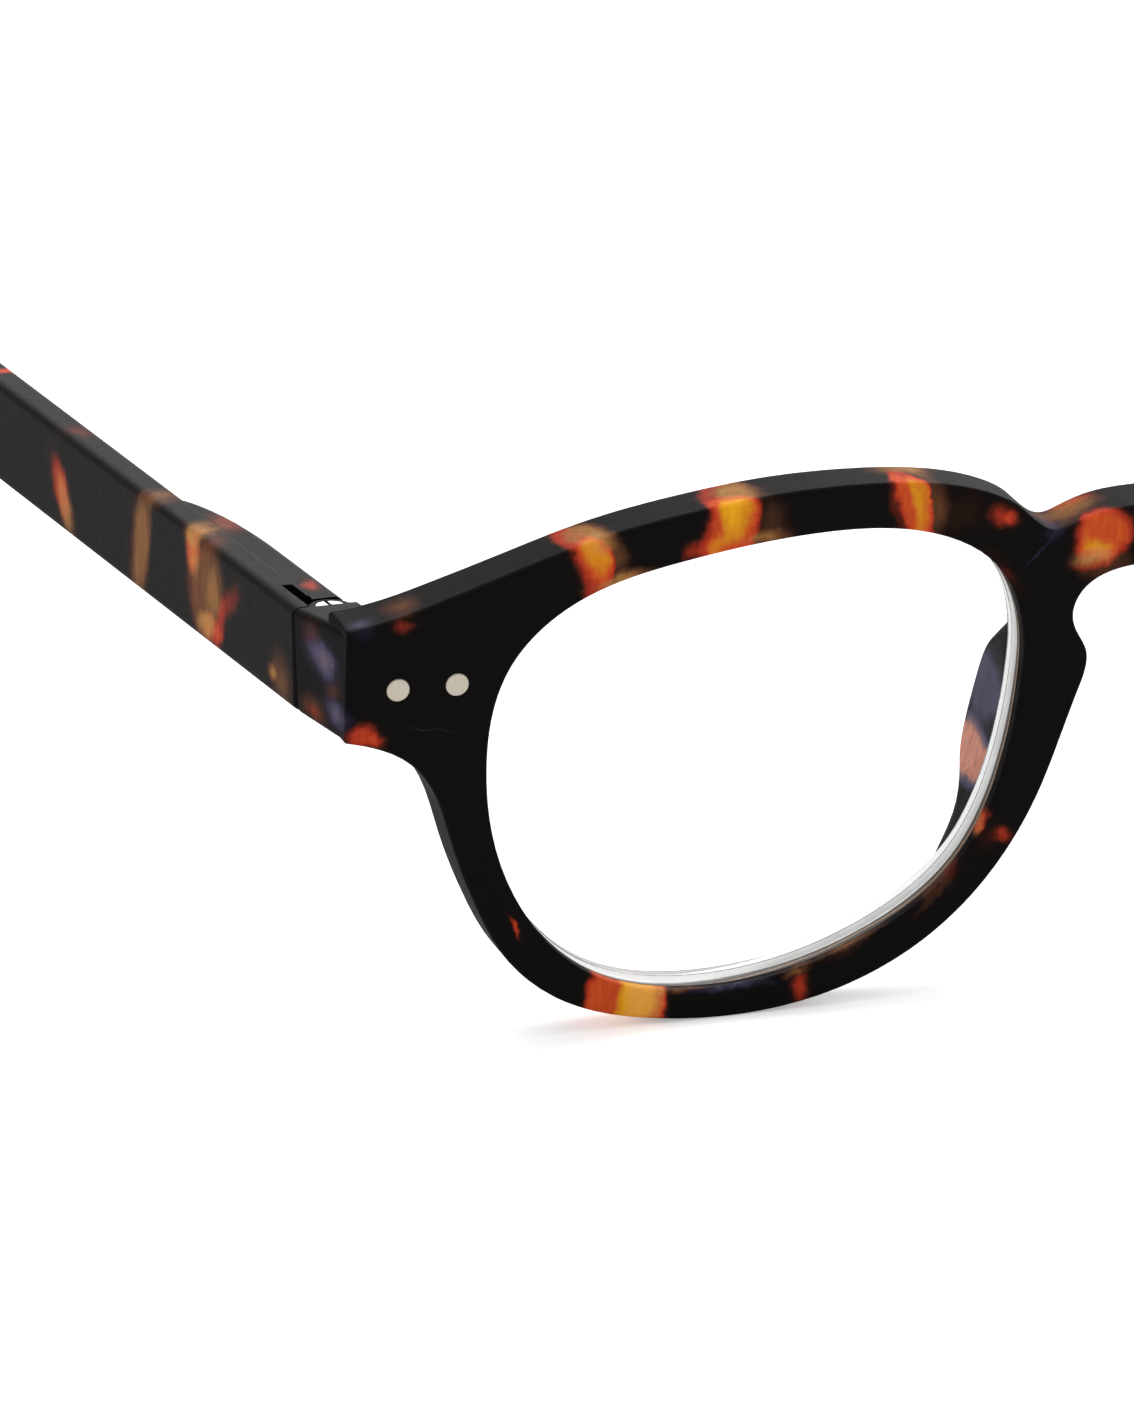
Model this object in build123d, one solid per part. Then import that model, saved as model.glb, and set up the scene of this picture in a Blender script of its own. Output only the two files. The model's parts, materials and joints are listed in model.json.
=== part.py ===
"""Reading glasses with folding, sprung temples. All sizes in millimetres.

The front is modelled in its own frame: X across the face, Y backwards from the front face and Z up
from the middle of the lens openings. A temple and its hinge are modelled about the hinge screw: X towards
the nose, Y along the temple and Z along the screw. Both are modelled for the wearer's right side, at -X,
and mirrored for the left. Last, the whole is tilted to stand on its lower rims and temple tips.
"""
from build123d import *
from math import asin, atan, cos, degrees, hypot, radians, sin, sqrt, tan
import os

os.makedirs("parts", exist_ok=True)

# ---------------------------------------------------------------- driving dimensions
# Front
opening_width = 46.2          # lens opening, seen from the front
opening_height = 39.7
bridge_gap = 22.8             # between the two openings
rim_depth = 4.4               # front to back
front_radius = 1500.0         # gentle wrap of the front, seen from above
end_piece_reach = 12.2        # from the opening to the front's outer corner
bridge_top = 19.3             # above the middle of the openings
bridge_arch = 14.0            # underside of the bridge, above the middle of the openings
keyhole_width = 14.2          # the wider part under the bridge
bridge_extra_depth = 0.6      # the bridge reaches this much further back than the rims
end_extra_depth = 0.9         # and so do the end pieces
outline_round = 0.4           # rounding of the front's outline, front and back
opening_round = 0.3           # rounding of the openings' edges

# A lens opening's outline, as shares of half its width and height: nose side, down, round and back
LENS_SHAPE = [
    (1.000, 0.330),
    (0.948, -0.109),
    (0.768, -0.577),
    (0.451, -0.847),
    (-0.152, -1.004),
    (-0.581, -0.885),
    (-0.902, -0.450),
    (-1.000, 0.078),
    (-0.914, 0.550),
    (-0.691, 0.788),
    (-0.303, 0.927),
    (0.247, 0.997),
    (0.635, 0.944),
    (0.905, 0.743),
]
# The front's outer outline in the same shares: the brow from the nose outwards
BROW_SHAPE = [
    (0.882, 1.080),
    (0.653, 1.161),
    (0.350, 1.193),
    (0.052, 1.186),
    (-0.244, 1.147),
    (-0.613, 1.066),
    (-0.906, 0.960),
    (-1.195, 0.848),
]
# and the lower side from the end piece inwards
LOW_SHAPE = [
    (-1.221, 0.063),
    (-1.117, -0.246),
    (-1.024, -0.529),
    (-0.907, -0.775),
    (-0.704, -0.984),
    (-0.332, -1.118),
    (0.012, -1.137),
    (0.341, -1.072),
    (0.634, -0.916),
    (0.878, -0.667),
    (1.070, -0.311),
    (1.214, 0.155),
    (1.241, 0.349),
]

# Lenses
lens_setback = 1.25           # from the front face to the lens's edge
lens_edge_thickness = 2.85
lens_front_radius = 260.0
lens_back_radius = 1400.0
lens_bead = 0.45              # the bead round the lens stands this far into the rim's groove
lens_bead_width = 1.3
bead_setback = 1.9            # from the front face to the bead
lens_clearance = 0.03

# Nose pads: height, middle's distance inwards from the nose side of the opening, depth of its middle,
# half depth and half width of the section there
PAD_SECTIONS = [
    (8.2, 1.9, 3.8, 1.9, 1.2),
    (4.6, 1.5, 5.0, 3.7, 1.6),
    (0.6, 0.7, 5.4, 4.7, 1.8),
    (-4.0, 0.3, 5.4, 4.4, 1.8),
    (-8.4, -0.8, 5.2, 3.0, 1.6),
    (-12.0, -3.3, 4.1, 2.3, 1.4),
    (-14.4, -4.9, 3.4, 1.3, 0.9),
]
pad_splay = 22.0              # degrees, the pads' rear edges lean outwards

# Hinge
pantoscopic = 7.85            # degrees between the front and a square set to the temples
axis_inset = 3.5              # hinge screw's axis, from the temple's outer face
axis_setback = 1.5            # behind the seam between end piece and temple
axis_behind_front = 12.1      # behind the front face
axis_height = 8.85            # middle of the hinge, above the middle of the openings
flare = 1.2                   # the end piece widens this much from its front corner to the seam
lug_inner = 1.8               # the end piece's inner side, from the axis
lug_height = 8.95
lug_blend = 2.8               # concave radius where the end piece meets the rim
lug_round = 0.7
corner_rise = 0.3             # the front's outer corner stands this much above the line of the lug's top
corner_drop = 0.6             # and reaches this much below the line of its underside
knuckle_radius = 1.8
knuckle_step = 0.4            # the knuckles' ends lie this much inside the end piece's height
eye_height = 2.5
hinge_clearance = 0.05
swing_clearance = 0.3
seam_gap = 0.3
screw_radius = 0.7
screw_head_radius = 1.2
screw_head_height = 0.75
screw_slot_width = 0.32
screw_slot_depth = 0.35
screw_tail = 0.25             # the screw's end stops this far inside the lower knuckle
insert_radius = 1.1
insert_length = 1.9
thread_clearance = 0.02       # the screw and its insert are plain where the real ones are threaded
seat_clearance = 0.01         # pressed and screwed seats
sleeve_wall = 0.25
eye_wall = 0.7

# Temples
temple_straight = 94.0        # from the hinge to the start of the bend
temple_tail = 27.1            # from the end of the bend to the tip
temple_height = 8.95          # at the hinge
temple_tip_height = 9.0       # from the bend to the tip; the lower edge takes up the difference
temple_thickness = 2.8
bend_angle = 38.0
bend_radius = 32.0
tip_round = 4.1
temple_edge_round = 0.75
end_corner_round = 0.9        # lower corner of the temple's front end
wall_at_hinge = 1.3           # the temple's outer wall beside the knuckles
housing_reach = 5.6           # the spring housing's inner face, from the temple's outer face
housing_height = 8.1
housing_flat = 20.0           # from the hinge to the end of the housing's flat inner face
housing_end = 38.0            # and to where the housing runs out into the temple
housing_round = 1.0
notch_end = 5.8               # the notches beside the spring box end this far behind the hinge
notch_width = 0.95
notch_depth = 1.5

# Spring hinge, inside the housing
box_width = 2.8
box_height = 4.0
box_wall = 0.4
box_front = 1.0
box_length = 14.7
shank_width = 1.2
shank_height = 1.4
rod_radius = 0.5
seat_thickness = 0.3
seat_radius = 0.95
spring_wire_radius = 0.14
spring_radius = 0.75          # to the middle of the wire
spring_length = 7.6
spring_turns = 9
collar_radius = 0.95
collar_length = 1.2
rod_tail = 0.3

# Decorative rivets
rivet_radius = 0.98
rivet_spacing = 5.0
rivet_from_corner = 4.4       # outer rivet, from the front's outer corner
rivet_height = 9.65           # above the middle of the openings
rivet_proud = 0.15
rivet_sink = 0.35
rivet_shank_radius = 0.6
rivet_length = 2.6

# ---------------------------------------------------------------- worked-out places
half_w = opening_width / 2
half_h = opening_height / 2
lens_x = -(bridge_gap / 2 + half_w)
corner_x = -(bridge_gap / 2 + opening_width + end_piece_reach)
outer_x = corner_x - flare
axis_x = outer_x + axis_inset
outer_face = -axis_inset                       # the temple's outer face, from the hinge axis
inner_face = outer_face + temple_thickness
half_lug = lug_height / 2
half_knuckle = half_lug - knuckle_step
bore_radius = screw_radius + hinge_clearance
sleeve_radius = bore_radius + sleeve_wall
eye_bore = sleeve_radius + hinge_clearance
eye_radius = eye_bore + eye_wall
eye_gap = eye_height + 2 * hinge_clearance
housing_start = knuckle_radius + swing_clearance + 0.1
spring_start = housing_start + box_front + seat_thickness
rod_end = spring_start + spring_length + collar_length + rod_tail
hinge_place = Pos(axis_x, axis_behind_front, axis_height) * Rot(-pantoscopic, 0, 0)


UPRIGHT = (Align.CENTER, Align.CENTER, Align.MIN)
HANGING = (Align.CENTER, Align.CENTER, Align.MAX)


def wrap(x):
    """How far the front face lies behind its middle, at x."""
    return x * x / (2 * front_radius)


lens_place = Pos(lens_x, wrap(lens_x), 0) * Rot(0, 0, degrees(atan(lens_x / front_radius)))


def shared(shape, out=0.0):
    """Points of a shape list, from the middle of an opening, moved out along their rays."""
    points = []
    for share_x, share_z in shape:
        x, z = share_x * half_w, share_z * half_h
        longer = 1 + out / hypot(x, z)
        points.append((x * longer, z * longer))
    return points


def opening_face(out=0.0):
    """A lens opening, or a face larger by out all round, in the XZ plane about its middle."""
    outline = Spline(*shared(LENS_SHAPE, out), periodic=True)
    return Plane.XZ * make_face([outline.trim(0, 0.5), outline.trim(0.5, 1)])


def thicken(face, start, end):
    """A solid from a face in the XZ plane, from Y start to Y end."""
    return extrude(Pos(0, start, 0) * face, amount=start - end)


def mirrored(shape):
    """The same piece for the wearer's left side."""
    return mirror(shape, about=Plane.YZ)


def both_sides(shape):
    return shape + mirrored(shape)


# ---------------------------------------------------------------- lenses
def lens_bead_ring(play=0.0):
    """The bead with bevelled edges, or with play the groove that it snaps into."""
    start = bead_setback - play
    ring = thicken(opening_face(lens_bead - lens_clearance + play), start, start + lens_bead_width + 2 * play)
    return chamfer(ring.edges().filter_by(Axis.Y, reverse=True), lens_bead - 0.05)


def lens():
    """A meniscus lens in its own frame."""
    edge = half_w
    front_sag = lens_front_radius - sqrt(lens_front_radius ** 2 - edge ** 2)
    back_sag = lens_back_radius - sqrt(lens_back_radius ** 2 - edge ** 2)
    front_y = lens_setback - front_sag + lens_front_radius
    back_y = lens_setback + lens_edge_thickness - back_sag + lens_back_radius
    body = thicken(opening_face(-lens_clearance), -4, 8)
    body &= Pos(0, front_y, 0) * Sphere(lens_front_radius)
    body -= Pos(0, back_y, 0) * Sphere(lens_back_radius)
    return body + lens_bead_ring()


# ---------------------------------------------------------------- front
def corner_heights():
    """The top and bottom of the front's outer corner; the end piece's slope runs out at its top."""
    top = axis_height + half_lug + (axis_behind_front - wrap(corner_x)) * tan(radians(pantoscopic))
    return top + corner_rise, top - lug_height - corner_drop


def across(points):
    """A row of points from the right-hand end to the middle, carried on to the left-hand end."""
    return points + [(-x, z) for x, z in reversed(points[:-1])]


def front_outline():
    """The front's outline, in the XZ plane."""
    top, low = corner_heights()
    nose_x = -bridge_gap / 2
    keyhole_x = -keyhole_width / 2
    brow = [(x + lens_x, z) for x, z in reversed(shared(BROW_SHAPE))]
    brow = [(corner_x, top), (corner_x + 4.4, top + 0.75)] + brow + [
        (nose_x - 0.9, bridge_top + 1.05),
        (nose_x + 0.9, bridge_top - 0.65),
        (nose_x + 2.5, bridge_top - 1.45),
        (nose_x + 4.3, bridge_top - 1.0),
        (nose_x + 6.4, bridge_top - 0.35),
        (0, bridge_top),
    ]
    lower = [(x + lens_x, z) for x, z in shared(LOW_SHAPE)]
    lower = [(corner_x, low), (corner_x + 3, low - 0.85), (corner_x + 5.7, low - 2.4)] + lower + [
        (keyhole_x + 0.5, bridge_arch - 5.6),
        (keyhole_x, bridge_arch - 3.95),
        (keyhole_x + 0.9, bridge_arch - 1.7),
        (keyhole_x / 2, bridge_arch - 0.3),
        (0, bridge_arch),
    ]
    edges = [Spline(*across(brow)), Spline(*across(lower))]
    edges += [Line(edges[0] @ end, edges[1] @ end) for end in (0, 1)]
    return Plane.XZ * make_face(edges)


def front_slab():
    """The space between the front's curved front face and its back, seen from above."""
    stations = [
        (0, bridge_extra_depth),
        (bridge_gap / 2 - 3, 0.3 * bridge_extra_depth),
        (bridge_gap / 2 + 4, -0.2),
        (-lens_x, 0),
        (bridge_gap / 2 + opening_width - 4, 0),
        (-corner_x + 3, end_extra_depth),
    ]
    right = [(-x, wrap(x) + rim_depth + extra) for x, extra in stations]
    back = Spline(*reversed(right), *[(-x, y) for x, y in right[1:]])
    far = -corner_x + 3
    face = ThreePointArc((-far, wrap(far)), (0, 0), (far, wrap(far)))
    ends = [Line(face @ 0, back @ 0), Line(face @ 1, back @ 1)]
    return extrude(Pos(0, 0, -50) * make_face([face, back, *ends]), amount=100)


def end_piece():
    """The lug behind the front's outer corner, up to the seam."""
    inner_x = axis_x + lug_inner
    rim_back = wrap(inner_x) + rim_depth + 0.5
    seam_y = axis_behind_front - axis_setback
    start_y = wrap(corner_x) + outline_round + 0.1
    past_seam = 4
    far_y = seam_y + past_seam
    far_x = outer_x - past_seam * flare / (seam_y - start_y)
    plan = FilletPolyline(
        (corner_x, start_y),
        (far_x, far_y),
        (inner_x, far_y),
        (inner_x, rim_back),
        (inner_x + 7, rim_back - 1.2),
        (inner_x + 7, rim_back - 2.4),
        radius=[0, 0, 0, lug_blend, 0, 0],
        close=True,
    )
    top, low = corner_heights()
    seam_top = (hinge_place * Pos(0, -axis_setback, half_lug)).position
    seam_low = (hinge_place * Pos(0, -axis_setback, -half_lug)).position
    front_y = wrap(corner_x)
    side = Polyline(
        (0, seam_top.Y, seam_top.Z),
        (0, seam_low.Y, seam_low.Z),
        (0, front_y, low),
        (0, front_y, top),
        close=True,
    )
    lug = extrude(Pos(0, 0, -30) * make_face(plan), amount=60)
    lug &= extrude(Pos(corner_x - 10, 0, 0) * make_face(side), amount=30, dir=(1, 0, 0))
    long_edges = lug.edges().filter_by(lambda edge: edge.length > 6 and abs((edge % 0.5).Z) < 0.5)
    return fillet(long_edges, lug_round)


def knuckle_post():
    """The knuckles as one post behind the seam, before the eye's gap is cut."""
    depth = axis_setback + 1
    post = Cylinder(knuckle_radius, 2 * half_knuckle)
    post = fillet(post.edges(), 0.3)
    return post + Pos(0, -depth / 2, 0) * Box(2 * knuckle_radius, depth, 2 * half_knuckle)


def hinge_cut():
    """The eye's gap, the screw's bore and head seat and the thread insert's seat."""
    head = screw_head_radius + hinge_clearance
    head_z = half_knuckle - screw_head_height - seat_clearance
    insert_top = -half_knuckle + screw_tail + insert_length
    cut = Cylinder(eye_radius + swing_clearance, eye_gap)
    cut += Cylinder(bore_radius, 2 * half_lug - 2)
    cut += Pos(0, 0, head_z) * Cylinder(head, lug_height, align=UPRIGHT)
    seat = Cylinder(insert_radius + seat_clearance, lug_height, align=HANGING)
    return cut + Pos(0, 0, insert_top) * seat


def nose_pad():
    """A moulded pad that stands back from the nose side of the rim."""
    opening_nose = lens_x + half_w
    sections = []
    for height, inwards, middle, half_depth, half_width in PAD_SECTIONS:
        place = Pos(opening_nose + inwards, middle, height) * Rot(0, 0, pad_splay)
        sections.append(place * Ellipse(half_width, half_depth))
    return loft(sections)


def rivet_places():
    for step in (0, 1):
        x = corner_x + rivet_from_corner + step * rivet_spacing
        yield Pos(x, wrap(x), rivet_height) * Rot(0, 0, degrees(atan(x / front_radius))) * Rot(90, 0, 0)


def rivet():
    """A domed stud; its head faces local +Z and its shank runs back into the end piece."""
    head = Cylinder(rivet_radius, rivet_proud + rivet_sink, align=HANGING)
    head = Pos(0, 0, rivet_proud) * head
    head = fillet(head.edges().sort_by(Axis.Z)[-1], 0.12)
    shank = Cylinder(rivet_shank_radius, rivet_length, align=HANGING)
    return head + shank


def rivet_seat():
    head = Cylinder(rivet_radius + seat_clearance, 2 * rivet_sink)
    return head + Cylinder(rivet_shank_radius + seat_clearance, rivet_length + 0.2, align=HANGING)


def front_frame():
    """Rims, bridge, end pieces, knuckles and nose pads: one moulding."""
    body = thicken(front_outline(), -1, 20) & front_slab()
    body = fillet(body.edges(), outline_round)
    opening = lens_place * thicken(opening_face(), -3, 20)
    body -= both_sides(opening)
    near = both_sides(lens_place * thicken(opening_face(0.1), -3, 20)).solids()
    mouths = [edge for edge in body.edges() if any(space.is_inside(edge @ 0.5) for space in near)]
    mouths = [edge for edge in mouths if abs((edge % 0.5).Y) < 0.5]
    body = fillet(mouths, opening_round)
    added = end_piece() + hinge_place * knuckle_post() + (nose_pad() - opening)
    body += both_sides(added)
    removed = hinge_place * hinge_cut() + lens_place * lens_bead_ring(lens_clearance)
    for place in rivet_places():
        removed += place * rivet_seat()
    return body - both_sides(removed)


# ---------------------------------------------------------------- hinge, about its screw
def hinge_screw():
    top, bottom = half_knuckle, -half_knuckle + screw_tail
    shank = Pos(0, 0, bottom) * Cylinder(screw_radius, top - bottom - 0.3, align=UPRIGHT)
    shank = chamfer(shank.edges().sort_by(Axis.Z)[0], 0.15)
    head = Pos(0, 0, top - screw_head_height) * Cylinder(screw_head_radius, screw_head_height, align=UPRIGHT)
    head = fillet(head.edges().sort_by(Axis.Z)[-1], 0.12)
    slot = Pos(0, 0, top) * Box(screw_slot_width, 3 * screw_head_radius, 2 * screw_slot_depth)
    return shank + head - slot


def thread_insert():
    bottom = -half_knuckle + screw_tail
    insert = Cylinder(insert_radius, insert_length, align=UPRIGHT)
    insert = chamfer(insert.edges(), 0.12)
    return Pos(0, 0, bottom) * insert - Cylinder(screw_radius + thread_clearance, 2 * lug_height)


def pivot_sleeve():
    return Cylinder(sleeve_radius, eye_height) - Cylinder(bore_radius, lug_height)


def hinge_tongue():
    """The eye, its shank and the rod that runs through the spring."""
    shank_end = housing_start + box_front
    eye = fillet(Cylinder(eye_radius, eye_height).edges(), 0.15)
    shank = Pos(0, shank_end / 2, 0) * Box(shank_width, shank_end, shank_height)
    rod = Pos(0, shank_end, 0) * Rot(-90, 0, 0) * Cylinder(rod_radius, rod_end - shank_end, align=UPRIGHT)
    rod = chamfer(rod.edges().sort_by(Axis.Y)[-1], 0.12)
    return eye + shank + rod - Cylinder(eye_bore, lug_height)


def ring_on_rod(outer, inner, start, length):
    ring = Cylinder(outer, length, align=UPRIGHT) - Cylinder(inner, length, align=UPRIGHT)
    return Pos(0, start, 0) * Rot(-90, 0, 0) * ring


def spring_seat():
    start = housing_start + box_front
    return ring_on_rod(seat_radius, rod_radius + hinge_clearance, start, seat_thickness)


def flex_spring():
    """A compression spring round the rod, between the seat and the collar."""
    rise = spring_length - 2 * spring_wire_radius
    path = Helix(rise / spring_turns, rise, spring_radius)
    wire = sweep(Plane(path @ 0, z_dir=path % 0) * Circle(spring_wire_radius), path=path, is_frenet=True)
    return Pos(0, spring_start + spring_wire_radius, 0) * Rot(-90, 0, 0) * wire


def spring_collar():
    start = spring_start + spring_length
    return ring_on_rod(collar_radius, rod_radius + seat_clearance, start, collar_length)


def spring_box():
    """The metal box moulded into the temple; the tongue's shank leaves by its window."""
    middle = Pos(0, housing_start + box_length / 2, 0)
    box = middle * Box(box_width, box_length, box_height)
    box = fillet(box.edges().filter_by(Axis.Y), 0.2)
    inner_length = box_length - box_front - box_wall
    inner = Pos(0, housing_start + box_front + inner_length / 2, 0)
    inner *= Box(box_width - 2 * box_wall, inner_length, box_height - 2 * box_wall)
    play = 2 * hinge_clearance
    window = Pos(0, housing_start, 0) * Box(shank_width + play, 3 * box_front, shank_height + play)
    return box - inner - window


# ---------------------------------------------------------------- temple
def temple_side():
    """The temple seen from its side, in the YZ plane: straight, then bent down behind the ear."""
    half = temple_height / 2
    lower = temple_tip_height - half
    lean_over = tan(radians(bend_angle) / 2)
    along = Vector(0, cos(radians(bend_angle)), -sin(radians(bend_angle)))
    up = Vector(0, -along.Z, along.Y)
    corner = Vector(0, temple_straight + bend_radius * lean_over, 0)
    end = corner + along * (bend_radius * lean_over + temple_tail)
    front = -axis_setback + seam_gap
    return FilletPolyline(
        (0, front, half),
        corner + Vector(0, half * lean_over, half),
        end + up * half,
        end - up * lower,
        corner - Vector(0, lower * lean_over, lower),
        (0, front, -half),
        radius=[0, bend_radius + half, tip_round, tip_round, bend_radius - lower, end_corner_round],
        close=True,
    )


def housing():
    """The thicker part round the spring box, on the temple's inner side."""
    inner = outer_face + housing_reach
    swell = housing_reach - temple_thickness
    run = housing_end - housing_flat
    flat = Line((inner, housing_start), (inner, housing_flat))
    slope = Spline(
        flat @ 1,
        (inner - 0.09 * swell, housing_flat + 0.38 * run),
        (inner - 0.47 * swell, housing_flat + 0.8 * run),
        (inner_face, housing_end),
        tangents=[(0, 1), (-1, 1.1)],
    )
    wall = outer_face + 1
    rest = Polyline(slope @ 1, (wall, housing_end), (wall, housing_start), flat @ 0)
    face = make_face([flat, slope, *rest.edges()])
    body = extrude(Pos(0, 0, -housing_height / 2) * face, amount=housing_height)
    long_edges = [edge for edge in body.edges() if (edge @ 0.5).X > inner_face and abs((edge % 0.5).Z) < 0.5]
    return fillet([edge for edge in long_edges if edge.length > 6], housing_round)


def temple():
    blade = extrude(Pos(outer_face, 0, 0) * make_face(temple_side()), amount=temple_thickness, dir=(1, 0, 0))
    edges = blade.edges().filter_by(lambda edge: abs((edge % 0.5).X) < 0.5)
    body = fillet(edges, temple_edge_round) + housing()
    pocket_x = outer_face + wall_at_hinge
    pocket = Box(20, 20, 20, align=(Align.MIN, Align.MAX, Align.CENTER))
    body -= Pos(pocket_x, housing_start, 0) * pocket
    notch = Box(notch_width, notch_end + 3, 5, align=(Align.MIN, Align.MAX, Align.MIN))
    notch = Pos(pocket_x, notch_end, temple_height / 2 - notch_depth) * notch
    body -= notch + mirror(notch, about=Plane.XY)
    seat = Box(
        box_width + 2 * seat_clearance,
        box_length + seat_clearance + 1,
        box_height + 2 * seat_clearance,
        align=(Align.CENTER, Align.MIN, Align.CENTER),
    )
    return body - Pos(0, housing_start - 1, 0) * seat


# ---------------------------------------------------------------- the pair, standing
def standing_lean():
    """The tilt, in degrees, at which the lower rims and the temples' tips touch the ground together."""
    angle = radians(bend_angle)
    side = temple_tip_height - temple_height / 2 - tip_round
    reach = bend_radius * tan(angle / 2) + temple_tail - tip_round
    tip = hinge_place * Pos(
        0,
        temple_straight + bend_radius * tan(angle / 2) + reach * cos(angle) - side * sin(angle),
        -reach * sin(angle) - side * cos(angle),
    )
    rim_low = front_outline().bounding_box().min.Z + outline_round
    back = tip.position.Y - wrap(lens_x) - outline_round
    down = rim_low - tip.position.Z
    return degrees(atan(down / back) + asin((tip_round - outline_round) / hypot(back, down)))


frame = front_frame()
temple_right = hinge_place * temple()
lean = Rot(standing_lean(), 0, 0)
boxes = [(lean * shape).bounding_box() for shape in (frame, temple_right)]
floor = min(box.min.Z for box in boxes)
middle = (min(box.min.Y for box in boxes) + max(box.max.Y for box in boxes)) / 2
stand = Pos(0, -middle, -floor) * lean

right_pieces = {
    "lens": lens_place * lens(),
    "hinge_screw": hinge_place * hinge_screw(),
    "thread_insert": hinge_place * thread_insert(),
    "pivot_sleeve": hinge_place * pivot_sleeve(),
    "hinge_tongue": hinge_place * hinge_tongue(),
    "spring_seat": hinge_place * spring_seat(),
    "flex_spring": hinge_place * flex_spring(),
    "spring_collar": hinge_place * spring_collar(),
    "spring_box": hinge_place * spring_box(),
    "temple": temple_right,
}
for name, place in zip(("rivet_outer", "rivet_inner"), rivet_places()):
    right_pieces[name] = place * rivet()

export_step(stand * frame, "parts/front_frame.step")
for name, piece in right_pieces.items():
    export_step(stand * piece, f"parts/{name}_right.step")
    export_step(stand * mirrored(piece), f"parts/{name}_left.step")
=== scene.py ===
"""Reading glasses with a tortoiseshell front and folding, sprung temples, on white paper."""

import json
import math

import bmesh
import bpy
from mathutils import Matrix, Vector

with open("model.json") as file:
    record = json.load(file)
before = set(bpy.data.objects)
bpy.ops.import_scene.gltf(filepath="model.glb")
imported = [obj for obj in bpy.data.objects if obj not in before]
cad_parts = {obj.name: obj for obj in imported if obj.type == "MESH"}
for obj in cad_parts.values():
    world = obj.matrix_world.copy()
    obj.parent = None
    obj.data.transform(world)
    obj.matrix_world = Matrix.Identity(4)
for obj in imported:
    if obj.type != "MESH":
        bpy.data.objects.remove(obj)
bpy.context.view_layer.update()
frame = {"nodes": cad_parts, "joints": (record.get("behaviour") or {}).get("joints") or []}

# ---------------------------------------------------------------- white paper, light and camera
# The glasses stand on a wide sheet of white paper in a small studio. Big soft lamps hang over them and
# behind them and a smaller one stands on each side, so the tops catch the light and the face stays dark.


class Link:
    """An output socket. Arithmetic on values adds the Math nodes for it."""

    def __init__(self, nodes, socket):
        self.nodes, self.socket = nodes, socket

    def math(self, operation, left, right):
        return self.nodes.add("ShaderNodeMath", {0: left, 1: right}, operation=operation)

    def __add__(self, other):
        return self.math("ADD", self, other)

    def __sub__(self, other):
        return self.math("SUBTRACT", self, other)

    def __rsub__(self, other):
        return self.math("SUBTRACT", other, self)

    def __mul__(self, other):
        return self.math("MULTIPLY", self, other)

    __radd__ = __add__
    __rmul__ = __mul__

    def least(self, other):
        return self.math("MINIMUM", self, other)


class Nodes:
    """The nodes of one material or world."""

    def __init__(self, owner):
        owner.use_nodes = True
        self.tree = owner.node_tree
        self.tree.nodes.clear()

    def add(self, kind, sockets=None, out=0, stops=(), **settings):
        """A node of this kind, with its settings made first and then its sockets filled or linked."""
        node = self.tree.nodes.new(kind)
        for name, value in settings.items():
            setattr(node, name, value)
        for place, colour in stops[2:]:
            node.color_ramp.elements.new(place)
        if stops:
            for element, (place, colour) in zip(node.color_ramp.elements, stops):
                element.position = place
                element.color = (*colour, 1.0)
        for name, value in (sockets or {}).items():
            if isinstance(value, Link):
                self.tree.links.new(value.socket, node.inputs[name])
            else:
                node.inputs[name].default_value = value
        return Link(self, node.outputs[out]) if node.outputs else None


def material(name):
    made = bpy.data.materials.new(name)
    return made, Nodes(made)


def seen_plainly(n):
    """1 where the camera looks, straight or through a lens, and 0 for the light that falls on things."""
    seen = n.add("ShaderNodeLightPath", out="Is Camera Ray")
    through = n.add("ShaderNodeLightPath", out="Is Transmission Ray")
    return (seen + through).least(1.0)


PAPER_HALF_SIDE = 3.0
PAPER_WHITE = (0.88, 0.88, 0.88, 1)
PAPER_GLOW = 0.35                                 # added for the camera only, so that the paper looks white
ROOM_LIGHT = 0.45

paper, n = material("white_paper")
lit = n.add("ShaderNodeBsdfDiffuse", {"Color": PAPER_WHITE})
glow = n.add("ShaderNodeEmission", {"Strength": seen_plainly(n) * PAPER_GLOW})
both = n.add("ShaderNodeAddShader", {0: lit, 1: glow})
n.add("ShaderNodeOutputMaterial", {"Surface": both})

bm = bmesh.new()
bmesh.ops.create_grid(bm, x_segments=1, y_segments=1, size=PAPER_HALF_SIDE)
mesh = bpy.data.meshes.new("paper")
bm.to_mesh(mesh)
bm.free()
mesh.materials.append(paper)
sheet = bpy.data.objects.new("paper", mesh)
bpy.context.scene.collection.objects.link(sheet)

room = bpy.data.worlds.new("studio")
bpy.context.scene.world = room
n = Nodes(room)
strength = seen_plainly(n) * (1.0 - ROOM_LIGHT) + ROOM_LIGHT
around = n.add("ShaderNodeBackground", {"Color": (1, 1, 1, 1), "Strength": strength})
n.add("ShaderNodeOutputWorld", {"Surface": around})

LAMPS_AIM = Vector((0, 0, 0.02))


def soft_light(name, place, width, height, watts):
    light = bpy.data.lights.new(name, "AREA")
    light.shape = "RECTANGLE"
    light.size, light.size_y = width, height
    light.energy = watts
    lamp = bpy.data.objects.new(name, light)
    bpy.context.scene.collection.objects.link(lamp)
    lamp.location = place
    lamp.rotation_euler = (LAMPS_AIM - Vector(place)).to_track_quat("-Z", "Y").to_euler()


soft_light("overhead", (-0.1, 0.15, 1.1), width=1.2, height=1.0, watts=9.0)
soft_light("left_side", (-1.0, -0.5, 0.5), width=0.8, height=0.6, watts=1.6)
soft_light("right_side", (0.9, -0.7, 0.6), width=0.6, height=0.6, watts=2.0)
soft_light("behind", (0.5, 1.4, 0.6), width=1.8, height=0.8, watts=16.0)

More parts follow.
